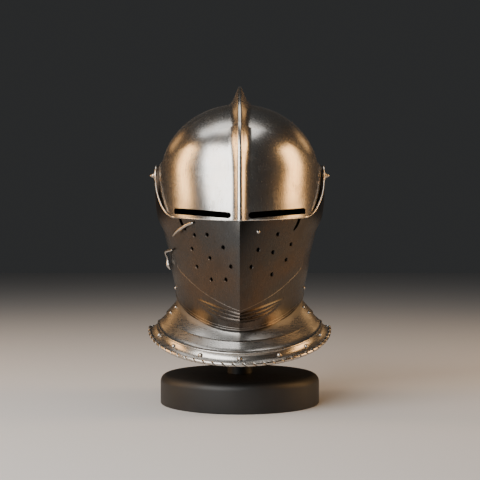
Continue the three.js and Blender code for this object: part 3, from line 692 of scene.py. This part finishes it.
def dark_stand(name):
    """Very dark matt stain with a slow mottle and a fine tooth."""
    shader = Shader(name)
    mottle = shader.clamped(shader.noise(22.0, 4.0, 0.6), 0.35, 0.7)
    tooth = shader.noise(900.0, 3.0, 0.6)
    grain = shader.noise(3.0, 4.0, 0.6, (30, 260, 260))
    colour = shader.mix(mottle, (0.0055, 0.005, 0.0046, 1), (0.0105, 0.0092, 0.0082, 1))
    grained = shader.mix(shader.clamped(grain, 0.45, 0.75) * 0.35, colour, (0.0035, 0.003, 0.0028, 1))
    rough = 0.5 + (tooth - 0.5) * 0.25 + mottle * 0.08
    bump = shader.node(
        "ShaderNodeBump", (), {"Strength": 0.2, "Distance": 0.0002, "Height": tooth + grain * 0.6},
    )
    return shader.finish(Base_Color=grained, Metallic=0.0, Roughness=rough, Normal=bump)


# Finishes: colour, warm patina, dark grime, roughness, patina share
# Bevor steel: a much darker copy of the same steel, painted shade so that the bevors read dark
SHADED_BEVOR_STEEL = steel(
    "shaded_bevor_steel", (0.07, 0.068, 0.066, 1), (0.115, 0.074, 0.046, 1), (0.02, 0.016, 0.013, 1), 0.28, 0.6,
)
# Dull edge steel: a copy lighter than the bevor plates, a dimmer painted highlight on the bevors' edge
# beads
DIM_HIGHLIGHT_STEEL = steel(
    "dim_highlight_steel", (0.22, 0.21, 0.2, 1), (0.22, 0.165, 0.12, 1), (0.07, 0.055, 0.045, 1), 0.3, 0.6,
)
SKULL_STEEL = steel(
    "plate_steel", (0.56, 0.545, 0.52, 1), (0.56, 0.43, 0.3, 1), (0.19, 0.155, 0.125, 1), 0.26, 0.6,
)
GORGET_STEEL = steel(
    "gorget_steel", (0.5, 0.49, 0.47, 1), (0.5, 0.4, 0.29, 1), (0.17, 0.14, 0.115, 1), 0.27, 0.4,
    ROUND_THE_NECK,
)
VISOR_STEEL = steel(
    "visor_steel", (0.62, 0.605, 0.58, 1), (0.62, 0.49, 0.36, 1), (0.22, 0.18, 0.15, 1), 0.25, 0.5,
)
# Edge steel: a lighter copy of the same steel, painted highlight along the visor and cheek rim beads
LIT_EDGE_STEEL = steel(
    "edge_steel", (0.74, 0.71, 0.67, 1), (0.72, 0.6, 0.46, 1), (0.26, 0.21, 0.17, 1), 0.24, 0.35,
)
FITTING_STEEL = steel(
    "fitting_steel", (0.5, 0.48, 0.45, 1), (0.5, 0.38, 0.27, 1), (0.13, 0.1, 0.08, 1), 0.22, 0.5,
)
STAND_STAIN = dark_stand("stand_stain")


def finish_plate(piece, body, material, *nodes):
    """Finishes a plate piece in one of the steels."""
    return finish_piece(piece, body, "plate_steel", material, *nodes)


def finish_fitting(piece, body, *nodes):
    """Finishes a rivet, stud, peg or hook."""
    return finish_piece(piece, body, "fitting_steel", FITTING_STEEL, *nodes)


def columns_across(half, fine):
    """Shares of the half width: even steps over the comb, then even turns to the temples."""
    crest = np.array([0, 0.35, 0.7, 1.1, 1.6, 2.2])
    centre = np.concatenate([crest, np.linspace(3, 26, fine)]) / half
    turns = np.linspace(np.arcsin(centre[-1]), np.radians(89.3), fine * 2)[1:]
    side = np.concatenate([centre, np.sin(turns)])
    return np.concatenate([-side[:0:-1], side])


def angle_rows(low, high, step, coarse=6.0):
    """Angles round the pivot axis, fine from low to high."""
    fine = np.arange(low, high, step)
    rest = np.arange(high, low + 360, coarse)
    return np.concatenate([fine, rest])


def mark_inside(piece, shell):
    """Marks the inner face dark, as blackened steel and as painted shade where it shows in the gaps: how
    far each point lies under the outer face, from 0.5 to 1.1 mm.
    """
    flat = np.empty(len(piece.data.vertices) * 3)
    piece.data.vertices.foreach_get("co", flat)
    x, y, z = (flat.reshape(-1, 3) / MM).T
    angle = np.degrees(np.arctan2(z - PIVOT_Z, -y))
    rise = comb_rise(shell, 0, x, np.where(angle < -60, angle + 360, angle)) if "comb" in shell else 0
    depth = distance(shell, 0, x, angle) + rise - np.hypot(y, z - PIVOT_Z)
    climb = np.maximum(z - PIVOT_Z, 0) / shell["dome"]
    widest = shell["sections"]["half"][-1] * np.sqrt(np.clip(1 - climb ** 2, 0, 1))
    near_temple = np.abs(x) > widest - 1.0
    inside = np.where(near_temple, 0, np.clip(depth - 0.5, 0, 0.6) / 0.6)
    return mark(piece, inside)


def radial_plate(name, shell, outline, angles, fine):
    """Plate of a shell about the pivot axis inside a side outline."""
    columns = columns_across(shell["sections"]["half"][-1], fine)
    piece = mesh_object(name, *radial_surface(shell, 0, columns, angles))
    inner = mesh_object("inner", *radial_surface(shell, PLATE, columns[::2], angles[::2]))
    carve(piece, inner)
    carve(piece, side_prism(outline), "INTERSECT")
    return carve(piece, pivot_bore())


def level_plate(name, shell, outline, levels, turns, relief=None):
    """Plate of a shell of level sections inside a side outline."""
    piece = mesh_object(name, *level_surface(shell, 0, levels, turns, relief))
    inner = mesh_object("inner", *level_surface(shell, PLATE, levels[::2], turns[::2]))
    carve(piece, inner)
    carve(piece, side_prism(outline), "INTERSECT")
    return carve(piece, pivot_bore())


def slit_outline(side):
    """Eye slit: round at its inner end, with small round corners at its outer end, rising outwards."""
    half = SLIT["height"] / 2
    bend = np.linspace(-90, -270, 11)
    inner = np.stack([
        SLIT["inner_x"] + half + half * np.cos(np.radians(bend)),
        SLIT["inner_z"] + 0.3 + half * np.sin(np.radians(bend)),
    ], axis=-1)
    corner = SLIT_CORNER
    high = np.radians(np.linspace(90, 0, 6))
    top = np.stack([SLIT["outer_x"] - corner + corner * np.cos(high),
                    SLIT["outer_z"] + half - corner + corner * np.sin(high)], axis=-1)
    bottom = np.stack([SLIT["outer_x"] - corner + corner * np.cos(-high[::-1]),
                       SLIT["outer_z"] - half + corner + corner * np.sin(-high[::-1])], axis=-1)
    flat = np.concatenate([inner, top, bottom])
    return flat * (side, 1)


def slot_outline(side):
    """J-shaped slot in the upper rim, narrowing as it bends inwards."""
    return np.array(SLOT) * (side, 1)


# Skull and visor
skull = radial_plate("skull_plate", SKULL, SKULL_OUTLINE, angle_rows(12, 250, 1.5), 22)
finish_plate(mark_inside(crease(skull, 38), SKULL), "root", SKULL_STEEL, "skull")

visor = radial_plate("visor_plate", VISOR, VISOR_OUTLINE, angle_rows(-32, 38, 0.9), 26)
carve(visor, joined([front_prism(slit_outline(side), FRONT_NEAR, FRONT_FAR) for side in (-1, 1)]))
finish_piece(mark_inside(crease(visor, 38), VISOR), "visor", "visor_steel", VISOR_STEEL, "visor")
lower_line = edge_path(VISOR, VISOR_OUTLINE, 0, 8, up=0.75, sink=0.35)
finish_piece(bead("visor_lower_bead", lower_line, 0.8, 0.1), "visor", "visor_steel", LIT_EDGE_STEEL)


def swollen(shell, grow):
    """Copy of a shell with its sections let out all round."""
    rows = dict(shell["sections"])
    for column in ("half", "front", "back"):
        rows[column] = rows[column] + grow
    return {**shell, "sections": rows}


def visor_room(lift):
    """Space that the visor takes at a lift, with a little clearance."""
    big = swollen(VISOR, 0.6)
    columns = columns_across(97.5, 10)
    angles = angle_rows(-32, 38, 3)
    outline = [(forward, level - 0.6 * (place < 9)) for place, (forward, level) in enumerate(VISOR_OUTLINE)]
    room = mesh_object("room", *radial_surface(big, 0, columns, angles))
    carve(room, mesh_object("inner", *radial_surface(big, PLATE + 1.2, columns, angles)))
    carve(room, side_prism(outline), "INTERSECT")
    flat = np.empty(len(room.data.vertices) * 3)
    room.data.vertices.foreach_get("co", flat)
    points = flat.reshape(-1, 3) - (0, 0, PIVOT_Z * MM)
    turn = math.radians(lift)
    turned = np.stack([
        points[:, 0],
        points[:, 1] * math.cos(turn) + points[:, 2] * math.sin(turn),
        -points[:, 1] * math.sin(turn) + points[:, 2] * math.cos(turn),
    ], axis=-1) + (0, 0, PIVOT_Z * MM)
    room.data.vertices.foreach_set("co", turned.ravel())
    room.data.update()
    return room


# Upper bevor
turns = np.linspace(-180, 180, 240, endpoint=False)
upper_levels = np.arange(96, 289, 1.6)
upper = level_plate("upper_bevor_plate", UPPER_BEVOR, UPPER_BEVOR_OUTLINE, upper_levels, turns)
for lift in VISOR_LIFTS:
    carve(upper, visor_room(lift))


def punch(place, near, far, above, below):
    """Closed cutter square to the upper bevor's face, from one radius above it to another below it."""
    x, z = place
    half = section_point(UPPER_BEVOR, 0, z, 90)[0]
    turn = math.degrees(math.asin(x / half))
    point = section_point(UPPER_BEVOR, 0, z, turn)
    normal = section_normal(UPPER_BEVOR, z, turn)
    across = unit(np.cross((0, 0, 1), normal))
    upwards = np.cross(normal, across)
    flat = circle((0, 0), 1, 24)
    ring = flat[:, :1] * across + flat[:, 1:] * upwards
    return prism("punch", point + normal * above + ring * near, point - normal * below + ring * far)


holes = [punch(place, BREATH_RADIUS, BREATH_RADIUS, 8, 10) for place in BREATHS]
holes += [front_prism(rounded(slot_outline(side), 2), FRONT_NEAR, FRONT_FAR) for side in (-1, 1)]
carve(upper, joined(holes))
dents = [punch(place, BREATH_RADIUS + 2.9, BREATH_RADIUS - 0.2, 2.4, 0.9) for place in BREATHS]
carve(upper, joined(dents))
finish_plate(mark_inside(crease(upper, 30), UPPER_BEVOR), "upper_bevor", SHADED_BEVOR_STEEL, "upper_bevor")
rim_line = edge_path(UPPER_BEVOR, UPPER_BEVOR_OUTLINE, 15, 25, sink=0.4)
for word, line in (("left", rim_line), ("right", mirrored(rim_line))):
    finish_plate(bead("cheek_bead_" + word, line, 0.95, 0.05), "upper_bevor", LIT_EDGE_STEEL)
line = edge_path(UPPER_BEVOR, UPPER_BEVOR_OUTLINE, 0, 7, up=0.6, sink=0.3)
finish_plate(bead("bevor_lower_bead", line, 0.4, 0.05), "upper_bevor", DIM_HIGHLIGHT_STEEL)


def chin_relief(grid):
    """Round ridges in a band that rises to the sides and closes there: a sine over its height."""
    share = np.clip(np.abs(grid[..., 0]) / CHIN["half"], 0, 1)
    top = CHIN["top"] + CHIN["top_rise"] * share
    bottom = CHIN["bottom"] + CHIN["bottom_rise"] * share ** 2.6
    place = (top - grid[..., 2]) / np.maximum(top - bottom, 0.1)
    kept = (place > 0) & (place < 1) & (grid[..., 1] < -20)
    wave = np.abs(np.sin(CHIN["ridges"] * np.pi * np.clip(place, 0, 1)))
    return np.where(kept, CHIN["height"] * np.sqrt(1 - share) * wave, 0)


# Lower bevor
lower_levels = np.concatenate([np.arange(70, 100, 2), np.arange(100, 132, 0.5), np.arange(132, 289, 2.2)])
lower = level_plate("lower_bevor_plate", LOWER_BEVOR, LOWER_BEVOR_OUTLINE, lower_levels, turns, chin_relief)
finish_plate(mark_inside(crease(lower, 30), LOWER_BEVOR), "lower_bevor", SHADED_BEVOR_STEEL, "lower_bevor")
for name, up, radius in (("neck_edge_bead", 1.2, 0.55), ("neck_edge_line", 3.8, 0.42)):
    line = edge_path(LOWER_BEVOR, LOWER_BEVOR_OUTLINE, 0, 3, up=up, sink=0.25)
    finish_plate(bead(name, line, radius), "lower_bevor", DIM_HIGHLIGHT_STEEL)


def ring_point(ring, angle, inset, lift):
    """Point round the neck: sine across, cosine forward with a little keel, level eased by the cosine."""
    cosine = np.cos(np.radians(angle))
    sine = np.sin(np.radians(angle))
    front = cosine > 0
    value = {key: read_ring(column, ring) for key, column in RINGS.items()}
    side = np.where(front, value["side"], value["rear_side"]) - inset
    reach = np.where(front, value["front"], value["rear"]) - inset
    level = np.where(front, value["front_z"], value["rear_z"])
    keel = np.where(front, value["keel"], 0)
    depth = (1 - keel) * cosine + keel * np.sign(cosine) * (1 - np.abs(sine))
    z = value["side_z"] + (level - value["side_z"]) * np.abs(cosine) + lift
    return np.stack(np.broadcast_arrays(side * sine, -reach * depth, z), axis=-1)


def read_ring(column, ring):
    """Value of a ring column, mixed between two rings where ring is a pair and a share."""
    if isinstance(ring, tuple):
        first, second, share = ring
        return column[first] * (1 - share) + column[second] * share
    return column[ring]


def band(name, corners, start, end, steps, outer=0, tucked=0):
    """Closed band through corners of (ring, inset, lift) from one angle to another.

    The corners after the first outer ones are its inner face, dark as blackened steel and as painted shade,
    and the first tucked ones get painted shade, darkest at the neck edge where the lame runs under the
    bevor."""
    angle = np.linspace(start, end, steps)
    rows = [ring_point(ring, angle, inset, lift) for ring, inset, lift in corners]
    grid = np.stack(rows, axis=1)
    poles = np.stack([grid[0].mean(axis=0), grid[-1].mean(axis=0)])
    count = len(corners)
    index = np.arange(steps * count).reshape(steps, count)
    after = np.roll(index, -1, axis=1)
    quads = np.stack([index[:-1], after[:-1], after[1:], index[1:]], axis=-1).reshape(-1, 4)
    faces = quads.tolist() + [index[0][::-1].tolist(), index[-1].tolist()]
    piece = mesh_object(name, grid.reshape(-1, 3), faces)
    # Inner rows dark, partly blackened steel and partly painted shade; the first tucked rows get painted
    # shade, fading from 0.55
    shade = np.where(np.arange(count) < outer, 0, 1) if outer else np.zeros(count)
    if outer and tucked:
        shade = np.maximum(shade, np.clip(1 - np.arange(count) / tucked, 0, 1) * 0.55)
    return crease(outward(mark(piece, np.tile(shade, steps))), 40)


def plate_corners(first, second, count, sag):
    """Outer and inner faces of a gorget plate between two rings, dished by sag."""
    shares = np.linspace(0, 1, count)
    outer = [((first, second, share), sag * math.sin(math.pi * share), 0.0) for share in shares]
    inner = [(ring, depth + PLATE, -0.5) for ring, depth, _ in outer[::-1]]
    return outer + inner


# Gorget
lame = plate_corners(NECK, LAME_EDGE, 9, LAME_SAG)
front_lame = band("front_lame_plate", lame, *FRONT_HALF, 181, 9, 3)
finish_plate(front_lame, "lower_bevor", GORGET_STEEL, "front_lame")
rear_lame = band("rear_lame_plate", lame, *REAR_HALF, 161, 9, 3)
finish_plate(rear_lame, "root", GORGET_STEEL, "rear_lame")

roll = [(BEAD, 0.2 - ROLL * math.sin(math.radians(turn)), ROLL * math.cos(math.radians(turn)) - 0.4)
        for turn in range(0, 181, 22)]
dished = [((TUCK, BEAD, share), 0.4 + 0.5 * share, -1.2 + 1.8 * share)
          for share in np.linspace(0, 1, 8)[:-1]]
flare = [((BEAD, RIM, share), 0.1 + 1.5 * math.sin(math.pi * share) + 1.2 * share, -1.2 + 2.0 * share)
         for share in np.linspace(0.12, 0.94, 10)]
under = [(ring, inset + PLATE, lift - 0.7) for ring, inset, lift in (dished + flare)[::-1]]
flange = dished + roll + flare + under
outer_count = len(flange) - len(under)
front_flange = band("front_flange_plate", flange, *FRONT_HALF, 241, outer_count)
finish_plate(front_flange, "lower_bevor", GORGET_STEEL, "front_flange")
rear_flange = band("rear_flange_plate", flange, *REAR_HALF, 201, outer_count)
finish_plate(rear_flange, "root", GORGET_STEEL, "rear_flange")


def rope_notch(path, angle, pitch):
    """Depth from 0 to 1 of a narrow notch that winds once round the roll in each pitch of its length."""
    steps = np.linalg.norm(np.diff(path, axis=0), axis=1)
    run = np.concatenate([[0], np.cumsum(steps)])
    phase = 2 * np.pi * run[:, None] / pitch - angle[None, :]
    return np.clip(np.cos(phase), 0, 1) ** 16


def rim_rope(name, start, end, steps):
    """Roped edge of the flange from one angle to another, with painted shade in its notches."""
    turn = np.linspace(start, end, steps)
    path = ring_point(RIM, turn, 0.4, 0.0)

    def reach(path, angle):
        """Radius of the roll less the depth of its notch."""
        return ROPE["radius"] * (1 - ROPE["notch"] * rope_notch(path, angle, ROPE["pitch"]))

    piece = swept(name, path, unit(path * (1, 1, 0)), reach, ROPE["sides"])
    angle = np.linspace(0, 2 * np.pi, ROPE["sides"], endpoint=False)
    notches = rope_notch(path, angle, ROPE["pitch"]).ravel()
    # Painted shade: the notches are darkened through the inside attribute
    return mark(piece, np.append(np.clip(notches * 1.3, 0, 1), (0, 0)))


finish_plate(rim_rope("front_roped_edge", *FRONT_HALF, 900), "lower_bevor", SKULL_STEEL)
finish_plate(rim_rope("rear_roped_edge", *REAR_HALF, 800), "root", SKULL_STEEL)


def band_place(corner, angle):
    """Point and outward direction on a gorget plate at one of its corners."""
    (first, second, share), inset, lift = corner

    def at(turn, part):
        """Point on the plate at a turn and a share between its rings."""
        return ring_point((first, second, part), turn, inset, lift)

    sideways = at(angle + 2, share) - at(angle - 2, share)
    upwards = at(angle, share - 0.2) - at(angle, share + 0.2)
    return at(angle, share), unit(np.cross(sideways, upwards))


def pivot_point(word, side):
    """Turned stud through the plates at a temple: inner head, shank, collar and point."""
    inner = STUD["inner"]
    seat = STUD["seat"]
    stud_profile = [
        (STUD["head"] - 0.5, inner - 1.6), (STUD["head"], inner - 1.1), (STUD["head"], inner - 0.4),
        (STUD["head"] - 0.4, inner), (STUD["shank"], inner), (STUD["shank"], seat - 0.1),
        (STUD["base"] - 0.4, seat), (STUD["base"], seat + 0.3), (STUD["base"], seat + 0.9),
        (STUD["base"] - 0.4, seat + 1.3), (3.3, seat + 1.6), (2.6, seat + 2.2), (2.5, seat + 2.8),
        (2.2, seat + 3.5), (1.5, seat + 4.6), (0.8, seat + 5.5), (0.3, STUD["tip"]),
    ]
    return crease(lathe("pivot_point_" + word, stud_profile, 40, (side, 0, 0), (0, 0, PIVOT_Z)), 50)


def face_rivet(name, shell, place, side=1):
    """Small rivet on a shell's face at a level and a turn."""
    z, turn = place
    point = section_point(shell, 0, z, turn * side)
    return rivet_head(name, point, section_normal(shell, z, turn * side), SMALL_RIVET)


# Rivets, studs, peg and hook
for body, start, angles in (
    ("lower_bevor", "flange_rivet_", FRONT_RIVETS), ("root", "rear_flange_rivet_", REAR_RIVETS),
):
    for count, angle in enumerate(angles, 1):
        head = rivet_head(start + "head_%d" % count, *band_place(flare[4], angle), RIVET)
        finish_fitting(head, body, start + str(count))
for side, word in ((1, "left"), (-1, "right")):
    for count, share in enumerate(LAME_RIVET_SHARES, 1):
        corner = ((NECK, LAME_EDGE, share), LAME_SAG * math.sin(math.pi * share), 0.0)
        place = band_place(corner, LAME_RIVET_TURN * side)
        head = rivet_head("lame_head_%s_%d" % (word, count), *place, SMALL_RIVET)
        finish_fitting(head, "lower_bevor", "lame_rivet_%s_%d" % (word, count))
    cheek_head = face_rivet("cheek_head_" + word, LOWER_BEVOR, CHEEK_RIVET, side)
    finish_fitting(cheek_head, "lower_bevor", "cheek_rivet_" + word)
    finish_fitting(pivot_point(word, side), "root", "pivot_stud_" + word)
finish_fitting(face_rivet("brow_head", UPPER_BEVOR, BROW_RIVET), "upper_bevor", "bevor_rivet")
finish_fitting(rod("peg_horn", UPPER_BEVOR, PEG), "upper_bevor", "lifting_peg")
finish_fitting(rod("hook_arm", LOWER_BEVOR, HOOK, 72, 1.2), "swivel_hook", "swivel_hook")
head_profile = [
    (1.4, 0.3), (1.8, 0.5), (1.8, 1.5), (2.3, 1.9), (2.8, 2.6), (3, 3.4), (2.9, 4.2), (2.4, 5.1),
    (1.6, 5.9), (0.6, 6.35),
]
hook_axis = section_normal(LOWER_BEVOR, *HOOK_HEAD)
hook_seat = section_point(LOWER_BEVOR, 0, *HOOK_HEAD)
finish_fitting(lathe("hook_ball", head_profile, 32, hook_axis, hook_seat), "swivel_hook")

# Stand
edge = np.radians(np.linspace(0, 90, 14))
foot = np.radians(np.linspace(-90, 0, 6))
base_profile = (
    [(STAND["radius"] - 1.5 + 1.5 * math.cos(turn), 1.5 + 1.5 * math.sin(turn)) for turn in foot]
    + [(STAND["radius"] - STAND["edge"] + STAND["edge"] * math.cos(turn),
        STAND["height"] - STAND["edge"] + STAND["edge"] * math.sin(turn)) for turn in edge]
)
base = lathe("stand_disc", base_profile, 160)
finish_piece(crease(base, 40), "root", "stand", STAND_STAIN, "stand_base")
post_profile = [
    (STAND["post"], STAND["height"] + STAND["gap"]), (STAND["post"], STAND["top"] - 25),
    (STAND["post"] + 1, STAND["top"] - 24), (STAND["pad"] - 1, STAND["top"] - 24),
    (STAND["pad"], STAND["top"] - 23), (STAND["pad"], STAND["top"] - 20.5),
    (STAND["pad"] * 0.9, STAND["top"] - 15), (STAND["pad"] * 0.72, STAND["top"] - 8),
    (STAND["pad"] * 0.5, STAND["top"] - 3.4), (STAND["pad"] * 0.2, STAND["top"] - 0.5),
]
post = lathe("stand_support", post_profile, 48)
finish_piece(crease(post, 40), "root", "stand", STAND_STAIN, "stand_post")

# Floor, lights and camera
bpy.ops.mesh.primitive_plane_add(size=8, location=(0, 0, 0))
floor = bpy.context.object
floor.name = "floor"
paper = Shader("pale_floor")
floor.data.materials.append(paper.finish(Base_Color=(0.6, 0.6, 0.6, 1), Roughness=0.75))

world = bpy.data.worlds.new("studio")
bpy.context.scene.world = world
world.use_nodes = True
world.node_tree.nodes["Background"].inputs["Color"].default_value = (0.95, 0.98, 1, 1)
world.node_tree.nodes["Background"].inputs["Strength"].default_value = 0.03


def soft_box(name, azimuth, elevation, distance, size, radiance, colour=(1, 1, 1)):
    """Soft box at an azimuth from the front, positive to +X, and an elevation from the helmet's middle."""
    middle = Vector((0, 0, 0.25))
    around = math.radians(azimuth)
    up = math.radians(elevation)
    away = Vector((math.sin(around) * math.cos(up), -math.cos(around) * math.cos(up), math.sin(up)))
    data = bpy.data.lights.new(name, "AREA")
    data.shape = "RECTANGLE"
    data.size, data.size_y = size
    data.energy = radiance * math.pi * size[0] * size[1]
    data.color = colour
    light = bpy.data.objects.new(name, data)
    light.location = middle + away * distance
    light.rotation_euler = away.to_track_quat("Z", "Y").to_euler()
    light.visible_camera = False
    bpy.context.scene.collection.objects.link(light)


WARM = (1, 0.57, 0.23)
soft_box("left_front_box", -36, 24, 1.4, (1.35, 1.25), 6.0, (1, 0.99, 0.97))
soft_box("warm_left_box", -95, 18, 1.3, (0.38, 0.8), 7.5, WARM)
soft_box("warm_right_box", 92, 18, 1.3, (0.48, 0.8), 7.5, WARM)
soft_box("low_warm_left_box", -100, -5, 1.3, (0.4, 0.2), 3.4, WARM)
soft_box("low_warm_right_box", 98, -5, 1.3, (0.55, 0.2), 4.2, WARM)
soft_box("overhead_box", -14, 88, 1.3, (1.2, 0.6), 2.2)
soft_box("high_left_box", -105, 58, 1.4, (0.4, 0.4), 2.2)
soft_box("warm_back_left_box", -142, 23, 1.4, (0.28, 0.28), 1.2, WARM)
soft_box("warm_back_right_box", 142, 23, 1.4, (0.28, 0.28), 1.2, WARM)

LENS = 85.0
SENSOR = 36.0
PHOTO_SIDE = 480
CENTRE_COLUMN = 239.8
EYE_DISTANCE = 1.361
EYE_HEIGHT = 0.208
PITCH_DOWN = 0.56
camera_data = bpy.data.cameras.new("camera")
camera_data.lens = LENS
camera_data.sensor_width = SENSOR
camera = bpy.data.objects.new("camera", camera_data)
metres_each_pixel = EYE_DISTANCE * SENSOR / LENS / PHOTO_SIDE
camera.location = ((PHOTO_SIDE / 2 - CENTRE_COLUMN) * metres_each_pixel, -EYE_DISTANCE, EYE_HEIGHT)
camera.rotation_euler = (math.radians(90 - PITCH_DOWN), 0, 0)
bpy.context.scene.collection.objects.link(camera)
bpy.context.scene.camera = camera
